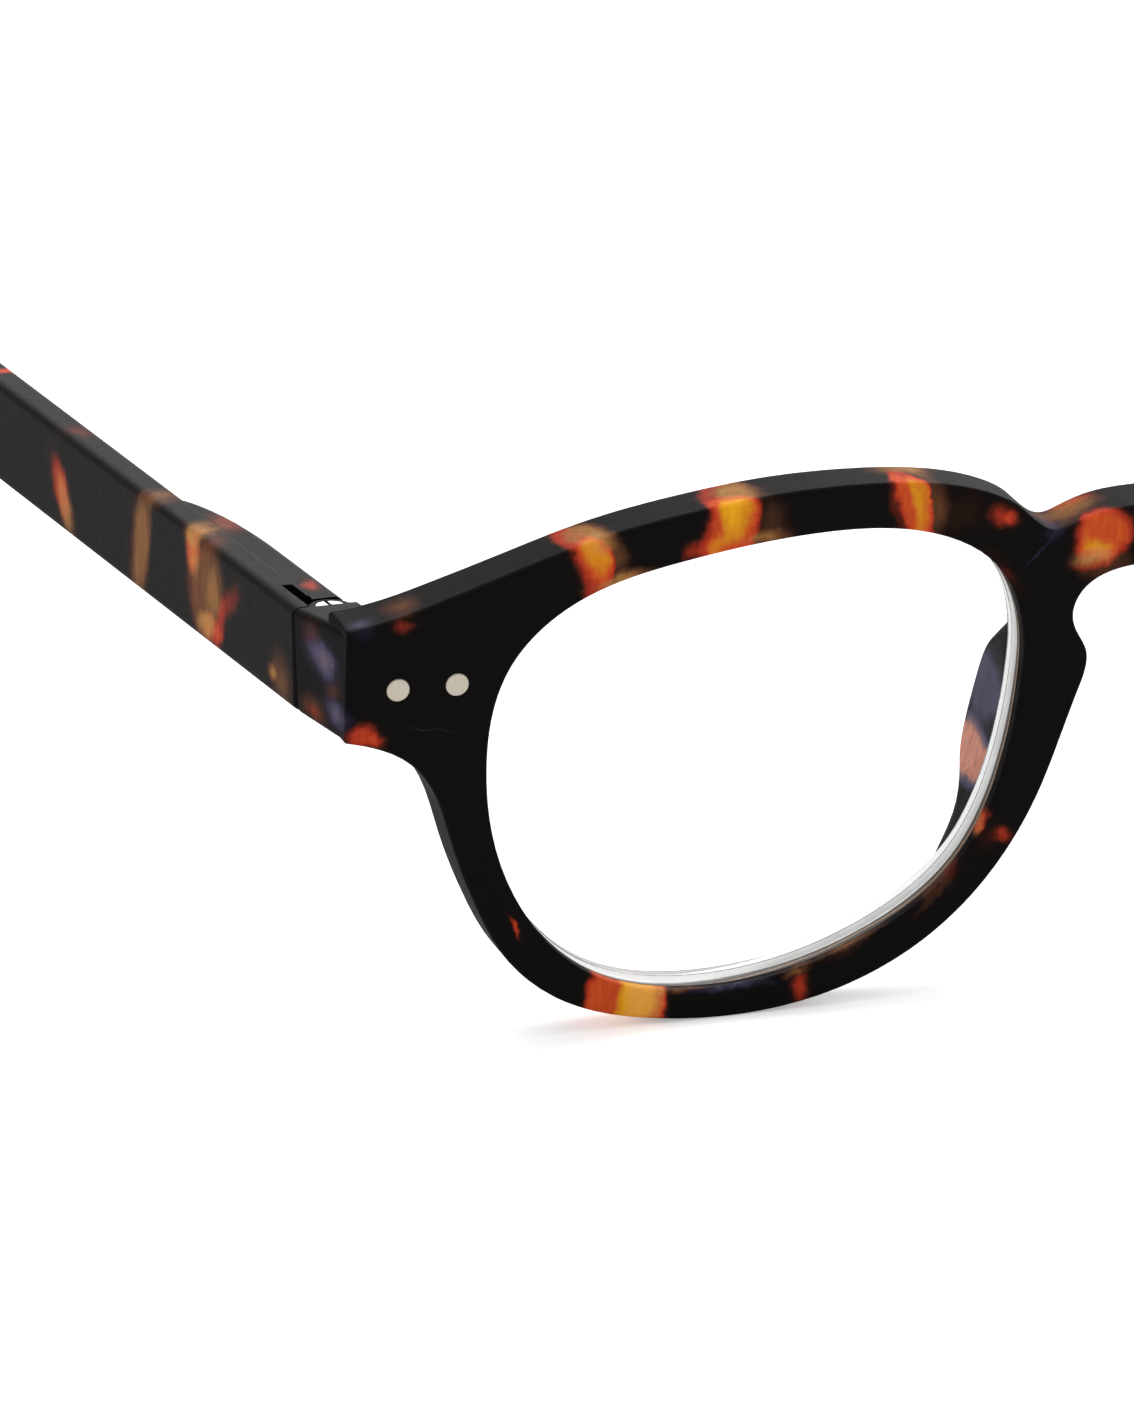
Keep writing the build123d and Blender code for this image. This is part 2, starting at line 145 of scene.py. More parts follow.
FILM_HEIGHT = 36.0
FOCAL_LENGTH = 374.28                             # a long lens, from a little over a metre away
CAMERA_PLACE = (-0.43356, -1.14179, 0.40998)
LOOK_DOWN = 18.53145                              # degrees
LOOK_RIGHT = 19.67683
FURTHEST_SEEN = 20.0

camera = bpy.data.cameras.new("camera")
camera.sensor_fit = "VERTICAL"
camera.sensor_height = FILM_HEIGHT
camera.lens = FOCAL_LENGTH
camera.clip_end = FURTHEST_SEEN
shooter = bpy.data.objects.new("camera", camera)
bpy.context.scene.collection.objects.link(shooter)
shooter.location = CAMERA_PLACE
shooter.rotation_euler = (math.radians(90 - LOOK_DOWN), 0.0, math.radians(-LOOK_RIGHT))
bpy.context.scene.camera = shooter
bpy.context.scene.view_settings.view_transform = "Standard"

# ---------------------------------------------------------------- front
# One moulding of nylon: rims, bridge, end pieces and nose pads. The tortoiseshell is amber, red and
# near-black pigment run together in the mould, under a thin coat of soft-touch lacquer.

MM_PER_METRE = 1000
PANTOSCOPIC = math.radians(7.85)                  # between the front and a square set to the temples
HINGE_IN_FRONT = Vector((-67.5, 12.1, 8.85))      # the right hinge, from the middle of the front face

hinge = next(joint for joint in frame["joints"] if joint["name"] == "fold_right")
hinge_mm = Vector(hinge["pos_m"]) * MM_PER_METRE
tilt = math.atan2(-hinge["axis"][1], -hinge["axis"][2])   # how far the temples slope down to their tips
lean = PANTOSCOPIC - tilt
front_middle = hinge_mm - Matrix.Rotation(lean, 3, "X") @ HINGE_IN_FRONT


def in_own_frame(n, origin, turn, flip=1):
    """Places in millimetres from an origin, square to a piece that is turned about X."""
    scale = Vector((flip, 1, 1)) * MM_PER_METRE
    back = Matrix.Rotation(-turn, 3, "X")
    shift = -(back @ Vector((flip * origin.x, origin.y, origin.z)))
    place = n.add("ShaderNodeTexCoord", out="Object")
    return n.add("ShaderNodeMapping",
                 {"Vector": place, "Location": shift, "Rotation": (-turn, 0, 0), "Scale": scale})


def noise(n, place, scale, detail=3.0, roughness=0.55, out="Fac"):
    sockets = {"Vector": place, "Scale": scale, "Detail": detail, "Roughness": roughness}
    return n.add("ShaderNodeTexNoise", sockets, out)


def stirred(n, place, scale, reach):
    """Places pushed about by noise, so that what is laid on them has flowing edges."""
    push = noise(n, place, scale, out="Color")
    push = n.add("ShaderNodeVectorMath", {0: push, 1: (0.5, 0.5, 0.5)}, operation="SUBTRACT")
    push = n.add("ShaderNodeVectorMath", {0: push, "Scale": 2 * reach}, operation="SCALE")
    return n.add("ShaderNodeVectorMath", {0: place, 1: push}, operation="ADD")


def pools(n, place, shapes):
    """Pools of colour, added up: middle, half sizes, turns in degrees, softness of the edge, strength."""
    field = 0.0
    for middle, halves, turn, softness, strength in shapes:
        turned = [math.radians(angle) for angle in turn]
        local = n.add("ShaderNodeMapping",
                      {"Vector": place, "Location": middle, "Rotation": turned, "Scale": halves},
                      vector_type="TEXTURE")
        inside = n.add("ShaderNodeTexGradient", {"Vector": local}, "Fac", gradient_type="SPHERICAL")
        field = field + n.add("ShaderNodeMapRange",
                              {"Value": inside, "From Max": softness, "To Max": strength},
                              interpolation_type="SMOOTHSTEP")
    return field


WARM = [
    (0.00, (0.0045, 0.0036, 0.0036)),
    (0.08, (0.012, 0.0050, 0.0040)),
    (0.18, (0.100, 0.013, 0.007)),
    (0.30, (0.400, 0.034, 0.014)),
    (0.44, (0.590, 0.078, 0.018)),
    (0.60, (0.645, 0.205, 0.016)),
    (0.78, (0.740, 0.300, 0.012)),
    (1.00, (0.840, 0.385, 0.014)),
]
TAN = [
    (0.00, (0.0, 0.0, 0.0)),
    (0.12, (0.018, 0.008, 0.005)),
    (0.30, (0.065, 0.025, 0.013)),
    (0.55, (0.170, 0.070, 0.024)),
    (0.80, (0.330, 0.148, 0.045)),
    (1.00, (0.400, 0.230, 0.065)),
]
VIOLET = [
    (0.00, (0.0, 0.0, 0.0)),
    (0.25, (0.018, 0.014, 0.026)),
    (0.50, (0.078, 0.064, 0.120)),
    (0.75, (0.160, 0.110, 0.130)),
    (1.00, (0.640, 0.270, 0.190)),
]


def lighter(n, one, other):
    """The lighter of two colours, taken in red, green and blue apart."""
    share, first, second, result = 0, 6, 7, 2     # a Mix node's factor and its sockets for colours
    return n.add("ShaderNodeMix", {share: 1.0, first: one, second: other}, result,
                 data_type="RGBA", blend_type="LIGHTEN")


# noise scales are per millimetre
BROAD_FLOW, FINE_FLOW, FINE_REACH = 0.25, 0.9, 0.35    # the reach is in millimetres
STRANDS, STRAND_DEPTH = (2.4, 2.4, 0.5), 0.5           # pigment drawn out upwards
SPECKS, SPECK_DEPTH = 4.0, 0.2
SKIN, SKIN_HEIGHT, GROOVE_DEPTH = 9.0, 0.6, 6.0        # orange peel, and the lines sunk in it
SKIN_BUMP, SKIN_METRES = 0.12, 0.00002
LACQUER_PATCHES = 1.1
LACQUER_ROUGH, LACQUER_CHANGE, LACQUER_SHINE = 0.50, 0.10, 0.03


def tortoiseshell(name, origin, turn, flip, warm, tan, violet, grooves=(), reach=0.9):
    """Soft-touch moulding: three families of pigment on near-black, with a faint orange-peel skin."""
    made, n = material(name)
    own = in_own_frame(n, origin, turn, flip)
    place = stirred(n, stirred(n, own, BROAD_FLOW, reach), FINE_FLOW, FINE_REACH)
    strands = n.add("ShaderNodeMapping", {"Vector": own, "Scale": STRANDS})
    grain = (noise(n, strands, 1.0, detail=4.0, roughness=0.6) - 0.5) * STRAND_DEPTH
    grain = grain + (noise(n, own, SPECKS, roughness=0.6) - 0.5) * SPECK_DEPTH
    colour = None
    for shapes, stops in ((warm, WARM), (tan, TAN), (violet, VIOLET)):
        field = pools(n, place, shapes)
        field = field + grain * field
        family = n.add("ShaderNodeValToRGB", {"Fac": field}, stops=stops)
        colour = lighter(n, colour, family) if colour else family
    height = noise(n, own, SKIN, detail=2.0, roughness=0.5) * SKIN_HEIGHT
    if grooves:
        height = height - pools(n, own, grooves) * GROOVE_DEPTH
    bump = n.add("ShaderNodeBump", {"Strength": SKIN_BUMP, "Distance": SKIN_METRES, "Height": height})
    rough = noise(n, own, LACQUER_PATCHES) * LACQUER_CHANGE + LACQUER_ROUGH
    surface = n.add("ShaderNodeBsdfPrincipled", {
        "Base Color": colour, "Roughness": rough, "Normal": bump, "Specular IOR Level": LACQUER_SHINE})
    n.add("ShaderNodeOutputMaterial", {"Surface": surface})
    return made


def put_on(node, finish):
    mesh = frame["nodes"][node].data
    mesh.materials.clear()
    mesh.materials.append(finish)


FLAT = (0, 0, 0)
FRONT_WARM = [
    # right brow, from the end piece to the nose
    ((-65.0, 1.2, 15.4), (1.8, 2.0, 1.1), (0, 10, 0), 0.9, 0.22),
    ((-49.5, 2.4, 18.9), (1.9, 5, 8), (0, -12, 24), 0.5, 0.28),
    ((-48.9, 0.1, 21.4), (1.6, 2.6, 5.6), (0, -12, 24), 0.7, 0.46),
    ((-44.8, -0.6, 18.4), (3.8, 2.6, 11), (0, -12, 24), 0.15, -1.0),
    ((-39.6, 2.0, 19.5), (3.2, 5, 1.5), (0, -18, 0), 0.9, 0.34),
    ((-37.2, 2.4, 21.6), (2.9, 5, 8), (0, 3, 2), 0.4, 0.26),
    ((-37.4, 0.2, 21.6), (2.8, 2.4, 6), (0, 3, 0), 0.3, 0.16),
    ((-37.0, 0.0, 22.7), (1.9, 2.4, 3.6), (0, 2, -4), 0.8, 0.56),
    ((-21.5, 0.8, 21.5), (1.8, 3.0, 8), (0, -12, 20), 0.45, 0.27),
    ((-22.3, 0.2, 21.7), (1.6, 2.4, 6), (0, -12, 10), 0.4, 0.15),
    ((-22.4, 3.7, 23.0), (4.4, 2.4, 2.0), FLAT, 0.9, 0.20),
    ((-20.9, 0.2, 22.2), (1.2, 2.2, 6), (0, -10, 10), 0.8, 0.32),
    ((-18.0, -0.6, 21.0), (2.0, 2.6, 9), (0, -12, 10), 0.3, -1.0),
    ((-13.9, 0.4, 19.6), (2.5, 2.8, 1.7), (0, 27, 0), 0.9, 0.27),
    ((-12.9, 0.2, 19.2), (1.3, 1.6, 0.9), (0, 27, 0), 0.9, 0.16),
    ((-17.0, 1.0, 17.8), (4.2, 3.0, 1.1), (0, 30, 0), 1.0, 0.15),
    ((-13.2, 1.0, 14.4), (3.8, 3.0, 1.1), (0, 56, 0), 1.0, 0.15),
    # bridge
    ((-4.7, -0.6, 17.4), (3.3, 3.4, 3.4), (0, -6, 10), 0.5, 0.44),
    ((-5.4, 0.6, 14.9), (3.4, 3.0, 1.6), (0, 4, 0), 0.7, 0.27),
    ((-5.9, 0.6, 16.1), (2.7, 2.4, 0.9), (0, 6, 0), 0.8, 0.14),
    ((-6.4, 3.7, 18.2), (4.6, 3.2, 2.4), FLAT, 0.9, 0.28),
    ((1.8, 1.0, 16.2), (2.4, 5, 2.2), (0, 12, 0), 0.7, 0.50),
    # right rim, nose side and below
    ((-14.5, 1.0, -7.6), (0.7, 2.5, 1.9), (0, 26, 0), 0.8, 0.34),
    ((-13.6, 1.0, -8.8), (1.8, 2.5, 2.6), (0, 22, 0), 0.9, 0.14),
    ((-17.0, 1.0, -11.8), (0.9, 2.0, 2.6), (0, 42, 0), 1.0, 0.20),
    ((-12.5, 0.2, -8.8), (1.3, 2.5, 1.3), (0, 20, 0), 0.8, 0.22),
    ((-13.1, 1.0, -2.2), (0.6, 2.0, 2.6), (0, 8, 0), 0.8, 0.18),
    ((-45.6, 2.0, -19.8), (3.8, 6, 5.0), (0, 16, 0), 0.3, 0.42),
    ((-43.6, 2.0, -20.3), (2.7, 6, 4.6), (0, 8, 0), 0.35, 0.56),
    ((-29.8, 2.0, -20.6), (1.5, 4, 3.4), (0, -12, 0), 0.9, 0.42),
    ((-54.9, 0.0, -12.4), (0.36, 3.0, 2.2), (0, -22, 0), 0.8, 0.34),
    # right end piece
    ((-68.4, 1.8, 5.8), (2.3, 2.6, 1.8), (0, 8, 0), 0.8, 0.34),
    ((-66.9, 0.8, 5.2), (1.3, 2.0, 1.0), (0, 20, 0), 0.8, 0.24),
    ((-71.0, 7.2, 6.0), (3.0, 4.0, 1.8), FLAT, 1.0, 0.22),
    # left brow
    ((64.9, 2, 13.0), (2.6, 5, 2.0), (0, 20, 0), 0.5, 0.5),
    ((57.2, 2, 17.8), (2.0, 6, 4.4), (0, -10, -12), 0.3, 0.44),
    ((56.2, 2, 17.6), (1.2, 6, 3.8), (0, -10, -12), 0.7, 0.56),
    ((43.6, 2, 20.6), (2.9, 6, 4.4), (0, -6, 8), 0.3, 0.44),
    ((42.0, 2, 20.9), (1.9, 6, 4.0), (0, -6, 8), 0.7, 0.56),
    ((28.0, 2, 22.2), (3.0, 6, 4.0), (0, 6, -14), 0.4, 0.42),
    ((27.0, 2, 22.4), (1.5, 6, 3.6), (0, 6, -14), 0.7, 0.56),
    ((13.9, 1, 19.8), (2.3, 5, 2.4), (0, -24, 0), 0.5, 0.42),
    # left rim
    ((58.0, 1, -3.8), (2.2, 5, 3.2), (0, 12, 0), 0.4, 0.44),
    ((57.6, 1, -4.4), (1.5, 5, 2.2), (0, 12, 0), 0.7, 0.56),
    ((50.4, 1, -17.0), (2.4, 5, 2.8), (0, -30, 0), 0.4, 0.4),
    ((37.6, 1, -20.8), (2.8, 6, 4.0), FLAT, 0.3, 0.44),
    ((35.9, 1, -20.9), (2.0, 6, 4.0), FLAT, 0.7, 0.56),
    ((22.2, 1, -16.8), (2.0, 4, 2.2), (0, 40, 0), 0.5, 0.38),
    ((13.0, 1, -4.6), (1.5, 4, 3.4), (0, 10, 0), 0.5, 0.44),
    ((9.8, 1, 8.6), (1.7, 4, 3.0), (0, -16, 0), 0.5, 0.4),
    # left end piece
    ((71.4, 9, 9.6), (2.4, 3.2, 2.6), FLAT, 0.5, 0.46),
    ((67.0, 1.4, 6.4), (2.4, 2.6, 1.5), (0, -14, 0), 0.4, 0.4),
]
FRONT_TAN = [
    # right brow, from the end piece to the nose
    ((-64.8, 3.6, 16.2), (2.8, 3.2, 2.0), FLAT, 1.0, 0.40),
    ((-47.6, 1.0, 19.8), (1.7, 4, 3.4), (0, -12, 24), 0.9, 0.40),
    ((-49.2, 2.6, 21.2), (2.4, 3.4, 2.4), (0, 0, 24), 0.6, 0.70),
    ((-46.8, 2.0, 17.3), (4.2, 5, 1.2), (0, -13, 0), 0.8, 0.80),
    ((-35.4, 2.0, 19.9), (4.8, 5, 1.1), (0, -7, 0), 0.9, 0.74),
    ((-33.8, 1.6, 21.4), (2.8, 4, 3.2), FLAT, 1.0, 0.32),
    ((-36.7, 2.6, 24.0), (3.2, 3.6, 2.4), FLAT, 0.6, 0.84),
    ((-20.0, 1.2, 21.4), (1.7, 4, 5.0), (0, -8, 10), 0.9, 0.46),
    ((-21.8, 3.6, 23.0), (4.2, 2.6, 2.0), FLAT, 0.9, 0.76),
    ((-17.4, 1.4, 20.4), (3.8, 4, 3.4), FLAT, 1.0, 0.16),
    # bridge
    ((-7.0, 3.0, 18.4), (4.4, 3.2, 2.2), FLAT, 0.8, 0.62),
    ((-5.6, 0.9, 15.2), (3.0, 3, 1.2), (0, 4, 0), 0.7, 0.72),
    ((-4.4, 1.4, 14.4), (4.0, 4, 2.2), FLAT, 0.7, 0.30),
    # right rim, below and on its inner lip
    ((-43.5, 2.0, -20.3), (2.7, 6, 4.6), (0, 8, 0), 0.5, 0.90),
    ((-41.0, 0.9, -19.5), (5.0, 1.2, 0.8), (0, 7, 0), 1.0, 0.50),
    ((-25.6, 0.9, -17.4), (5.4, 1.2, 0.8), (0, -24, 0), 1.0, 0.46),
    ((-14.6, 1.0, -7.8), (0.6, 2.5, 1.7), (0, 26, 0), 0.8, 0.72),
    ((-17.6, 0.9, -12.2), (4.6, 1.2, 0.8), (0, -40, 0), 1.0, 0.20),
    ((-18.6, 2, -13.6), (0.8, 3, 5.0), (0, 46, 0), 0.4, 0.16),
    ((-30.2, 2, -19.1), (2.2, 3, 0.8), (0, -6, 0), 0.7, 0.72),
    ((-25.4, 2, -17.8), (2.6, 3, 0.7), (0, -22, 0), 0.9, 0.30),
    # right end piece, on its outer side
    ((-71.0, 3.9, 9.0), (3.0, 2.6, 2.4), FLAT, 1.0, 0.32),
    ((-71.0, 7.2, 6.2), (3.0, 4.4, 2.0), FLAT, 1.0, 0.34),
    ((-71.0, 7.8, 12.2), (3.0, 3.2, 2.4), FLAT, 1.0, 0.30),
    # left brow, bridge and rim
    ((60.6, 2, 15.6), (3.0, 5, 2.0), (0, 14, 0), 0.8, 0.6),
    ((38.6, 2, 19.8), (3.4, 6, 1.4), (0, -4, 0), 0.8, 0.78),
    ((23.4, 2, 21.2), (3.6, 6, 1.6), (0, 6, 0), 0.7, 0.7),
    ((8.6, 2, 17.4), (3.0, 5, 2.0), (0, -10, 0), 0.7, 0.58),
    ((54.6, 1, -12.0), (1.6, 5, 3.8), (0, -26, 0), 0.7, 0.62),
    ((29.6, 1, -20.2), (3.6, 6, 1.6), (0, -12, 0), 0.8, 0.74),
    ((14.6, 1, -10.0), (1.4, 4, 3.6), (0, -24, 0), 0.7, 0.6),
]
FRONT_VIOLET = [
    # right end piece
    ((-71.0, 4.7, 10.8), (3.0, 3.4, 3.2), FLAT, 1.0, 0.54),
    ((-71.0, 7.0, 11.4), (3.0, 4.2, 2.8), FLAT, 1.0, 0.46),
    ((-71.0, 3.2, 7.3), (3.0, 3.6, 2.0), FLAT, 0.9, 0.56),
    ((-68.3, 2.6, 15.0), (2.2, 2.0, 1.6), FLAT, 1.0, 0.40),
    # beside the bridge, and the nose pads
    ((-9.3, 1.2, 17.8), (2.0, 2.4, 1.0), FLAT, 1.0, 0.40),
    ((-12.0, 7.6, 1.4), (7.0, 6.0, 4.4), FLAT, 0.6, 0.46),
    ((-12.4, 7.6, -4.4), (7.0, 7.0, 3.4), FLAT, 0.5, 0.96),
    ((10.2, 7.2, 4.0), (3.0, 3.0, 3.0), FLAT, 0.8, 0.60),
    ((10.8, 7.4, -3.6), (3.0, 3.0, 3.0), FLAT, 0.7, 0.96),
    # right rim, below
    ((-36.0, 0.4, -19.9), (6.0, 1.0, 0.8), (0, -2, 0), 1.0, 0.40),
    # painted highlight lines along two faint creases in the moulding
    ((-62.6, 0, 6.0), (4.2, 3.0, 0.2), (0, 18, 0), 1.0, 0.40),
    ((-10.6, 0, 16.0), (0.24, 3.0, 3.2), (0, 34, 0), 1.0, 0.31),
    # left end piece
    ((70.8, 5.6, 8.0), (2.6, 2.4, 2.8), FLAT, 0.9, 0.62),
]
CREASE_GROOVES = [
    # the same two creases, sunk a little into the skin
    ((-10.6, -0.2, 16.1), (0.16, 1.0, 3.0), (0, 34, 0), 1.0, 1),
    ((-62.4, -0.2, 6.3), (3.6, 1.0, 0.14), (0, 20, 0), 1.0, 1),
]
put_on("front_frame", tortoiseshell("tortoiseshell_front", front_middle, lean, 1,
                                    FRONT_WARM, FRONT_TAN, FRONT_VIOLET, CREASE_GROOVES))

# ---------------------------------------------------------------- temples
# Each temple is moulded from the same mix, 2.8 mm thick, flat outside and swollen inside over the spring
# box, then bent down behind the ear. The outer face is left plain.

RIGHT_WARM = [
    # outer face, from the middle to the hinge
    ((-3, 60.4, -1.6), (6, 3.2, 5.4), (-40, 0, 0), 0.9, 0.22),
    ((-3, 62.0, -0.4), (6, 3.6, 4.8), (-40, 0, 0), 0.8, 0.18),
    ((-3, 40.0, -0.5), (5, 3.9, 8.0), (18, 0, 0), 0.7, 0.16),
    ((-3, 25.5, 3.4), (2.4, 2.8, 3.2), (8, 0, 0), 0.8, 0.30),
    ((-3, 22.0, 0.2), (3, 6.6, 6.8), (20, 0, 0), 0.5, 0.20),
    ((-3, 21.2, -2.9), (3, 4.0, 1.6), FLAT, 0.8, 0.16),
    ((-3, 18.5, -2.8), (3, 1.8, 2.8), (30, 0, 0), 0.9, 0.20),
    ((-3, 15.6, 0.8), (3, 5.0, 2.2), (-34, 0, 0), 0.9, 0.22),
    ((-3, 4.7, -2.4), (3, 1.6, 1.1), FLAT, 1.0, 0.20),
    # top edge, and the inner face over the spring box
    ((0.4, 28.0, 4.0), (2.6, 5.4, 2.2), FLAT, 0.8, 0.21),
    ((0.6, 6.4, 3.8), (1.4, 3.6, 1.4), (0, 0, -8), 0.9, 0.26),
    ((-2.1, 59.9, 4.6), (2.4, 4.4, 1.0), FLAT, 0.9, 0.16),
    ((2.6, 14.0, -1.0), (2.6, 3.4, 3.6), FLAT, 0.8, 0.42),
    # from the middle to the tip
    ((-1, 84.0, 0.6), (6, 2.0, 6.4), (22, 0, 0), 0.7, 0.80),
    ((-1, 95.0, -1.2), (6, 5.4, 1.8), (34, 0, 0), 0.6, 0.44),
    ((-1, 105.5, -1.8), (6, 2.0, 7.0), (-24, 0, 0), 0.7, 0.84),
    ((-1, 118.0, -10.6), (6, 6.0, 2.0), (-60, 0, 0), 0.6, 0.46),
    ((-1, 128.0, -18.0), (6, 2.2, 6.6), (-20, 0, 0), 0.7, 0.86),
]
RIGHT_TAN = [
    # outer face, from the middle to the hinge
    ((-3, 60.6, -1.6), (6, 2.8, 5.0), (-40, 0, 0), 0.8, 0.80),
    ((-3, 39.2, -0.2), (5, 3.2, 7.4), (18, 0, 0), 0.6, 0.63),
    ((-3, 22.0, 0.2), (3, 6.2, 6.8), (20, 0, 0), 0.6, 0.46),
    ((-3, 25.4, 3.2), (2.4, 3.0, 3.4), (8, 0, 0), 0.8, 0.56),
    ((-3, 19.4, 0.6), (3, 4.2, 3.4), (-30, 0, 0), 0.8, 0.28),
    ((-3, 21.8, -2.9), (3, 3.8, 1.6), FLAT, 0.7, 0.48),
    ((-3, 4.7, -2.3), (3, 1.8, 1.1), FLAT, 0.8, 0.50),
    ((-3, 2.6, -2.6), (3, 4.4, 4.0), (12, 0, 0), 1.0, 0.48),
    # top edge
    ((-2.2, 25.8, 4.4), (3.6, 4.0, 1.8), FLAT, 0.8, 0.38),
    ((0.6, 28.6, 3.6), (2.6, 5.0, 1.9), FLAT, 0.9, 0.40),
    ((-2.4, 36.0, 4.4), (2.6, 2.8, 1.4), FLAT, 0.9, 0.36),
    # from the middle to the tip
    ((-1, 87.0, 0.0), (6, 2.8, 4.0), (20, 0, 0), 0.7, 0.70),
    ((-1, 101.0, -0.6), (6, 3.0, 3.6), (-30, 0, 0), 0.7, 0.62),
    ((-1, 124.0, -15.0), (6, 3.0, 3.6), (-46, 0, 0), 0.7, 0.66),
]
RIGHT_VIOLET = [
    ((3, 24.0, -1.6), (3, 3.0, 2.0), (30, 0, 0), 0.9, 0.44),
    ((-1, 112.0, -6.4), (6, 2.8, 2.0), (-38, 0, 0), 0.9, 0.56),
]
LEFT_WARM = [
    ((-1, 9.5, 0.8), (6, 3.0, 3.4), (-20, 0, 0), 0.6, 0.78),
    ((-1, 21.8, -1.4), (6, 2.2, 3.6), (24, 0, 0), 0.4, 0.46),
    ((-1, 33.0, 1.2), (6, 3.4, 3.2), (-30, 0, 0), 0.6, 0.66),
    ((-1, 48.8, -0.4), (6, 1.8, 4.6), (16, 0, 0), 0.6, 0.84),
    ((-1, 63.5, 1.4), (6, 3.2, 2.6), (-14, 0, 0), 0.4, 0.44),
    ((-1, 76.0, -1.6), (6, 2.6, 3.4), (30, 0, 0), 0.6, 0.78),
    ((-1, 90.5, 0.6), (6, 2.2, 4.4), (-12, 0, 0), 0.4, 0.52),
    ((-1, 104.0, -3.4), (6, 3.0, 3.0), (-40, 0, 0), 0.6, 0.8),
    ((-1, 117.5, -8.8), (6, 2.2, 4.0), (-60, 0, 0), 0.4, 0.46),
    ((-1, 130.0, -19.6), (6, 3.2, 3.0), (-40, 0, 0), 0.6, 0.76),
    ((4.4, 16.0, -2.0), (3.0, 4.0, 3.0), FLAT, 0.5, 0.44),
]
LEFT_TAN = [
    ((-1, 12.6, 0.2), (6, 3.2, 3.0), (-20, 0, 0), 0.7, 0.66),
    ((-1, 36.4, 0.6), (6, 3.6, 2.6), (-30, 0, 0), 0.8, 0.74),
    ((-1, 51.4, -1.0), (6, 2.2, 4.2), (16, 0, 0), 0.8, 0.8),
    ((-1, 79.0, -1.0), (6, 2.8, 3.2), (30, 0, 0), 0.7, 0.7),
    ((-1, 107.5, -4.0), (6, 2.8, 3.0), (-40, 0, 0), 0.8, 0.66),
]
LEFT_VIOLET = [
    ((-1, 27.4, -1.8), (6, 2.6, 1.8), FLAT, 0.8, 0.56),
    ((-1, 69.6, -1.0), (6, 2.6, 2.2), FLAT, 0.8, 0.6),
    ((-1, 97.0, 1.0), (6, 3.0, 2.0), FLAT, 0.7, 0.52),
]
left_hinge = Vector((-hinge_mm.x, hinge_mm.y, hinge_mm.z))
put_on("temple_right", tortoiseshell("tortoiseshell_temple_right", hinge_mm, -tilt, 1,
                                     RIGHT_WARM, RIGHT_TAN, RIGHT_VIOLET))
put_on("temple_left", tortoiseshell("tortoiseshell_temple_left", left_hinge, -tilt, -1,
                                    LEFT_WARM, LEFT_TAN, LEFT_VIOLET, reach=2.6))

# ---------------------------------------------------------------- lenses
# Clear acrylic, cut to the opening with a small bead that snaps into the rim. The faces are polished and
# coated; the cut edge is left frosted, with a painted white glow behind and painted rim shade in front.

LENS_TURN = math.radians(1.318)
LENS_MIDDLE = Vector((-34.5, 0.4, 0))             # of the right lens, from the middle of the front face
RIM_LIP = 1.25                                    # from the front face to the lens's edge
EDGE_THICKNESS = 2.85
FROST, FROST_ROUGH, FROST_CHANGE = 2.4, 0.4, 0.3
DRIFT = 0.2                                       # how slowly the streaks wander along the edge
# painted glow: the frosted edge gives off light of its own colour, though it is no lamp
PAINTED_EDGE_GLOW = 0.16
# the painted rim shade in the edge fades out towards the temple
RIM_SHADE_FADE_FROM, RIM_SHADE_FADE_AT, RIM_SHADE_FADE = 30.0, 44.0, 0.26   # towards the temple, less dark shows in the edge
SQUARE_ON = 0.9                                   # a polished face, against the rounded or cut edge
CLEAR_ACRYLIC = (0.985, 0.99, 0.985, 1)
COATING_ROUGH, COATING_SHINE = 0.02, 0.01
# from the front of the edge: painted rim shade with a thin painted highlight line, then white frost with
# streaks, and a darker line at the back
EDGE_STREAKS_AND_RIM_SHADE = [
    (0.00, (0.020, 0.014, 0.012)),
    (0.05, (0.330, 0.200, 0.115)),
    (0.10, (0.040, 0.028, 0.024)),
    (0.28, (0.070, 0.062, 0.058)),
    (0.38, (0.500, 0.490, 0.480)),
    (0.48, (0.820, 0.820, 0.820)),
    (0.56, (0.600, 0.590, 0.580)),
    (0.70, (0.850, 0.850, 0.850)),
    (0.94, (0.870, 0.870, 0.880)),
    (0.98, (0.400, 0.400, 0.410)),
]
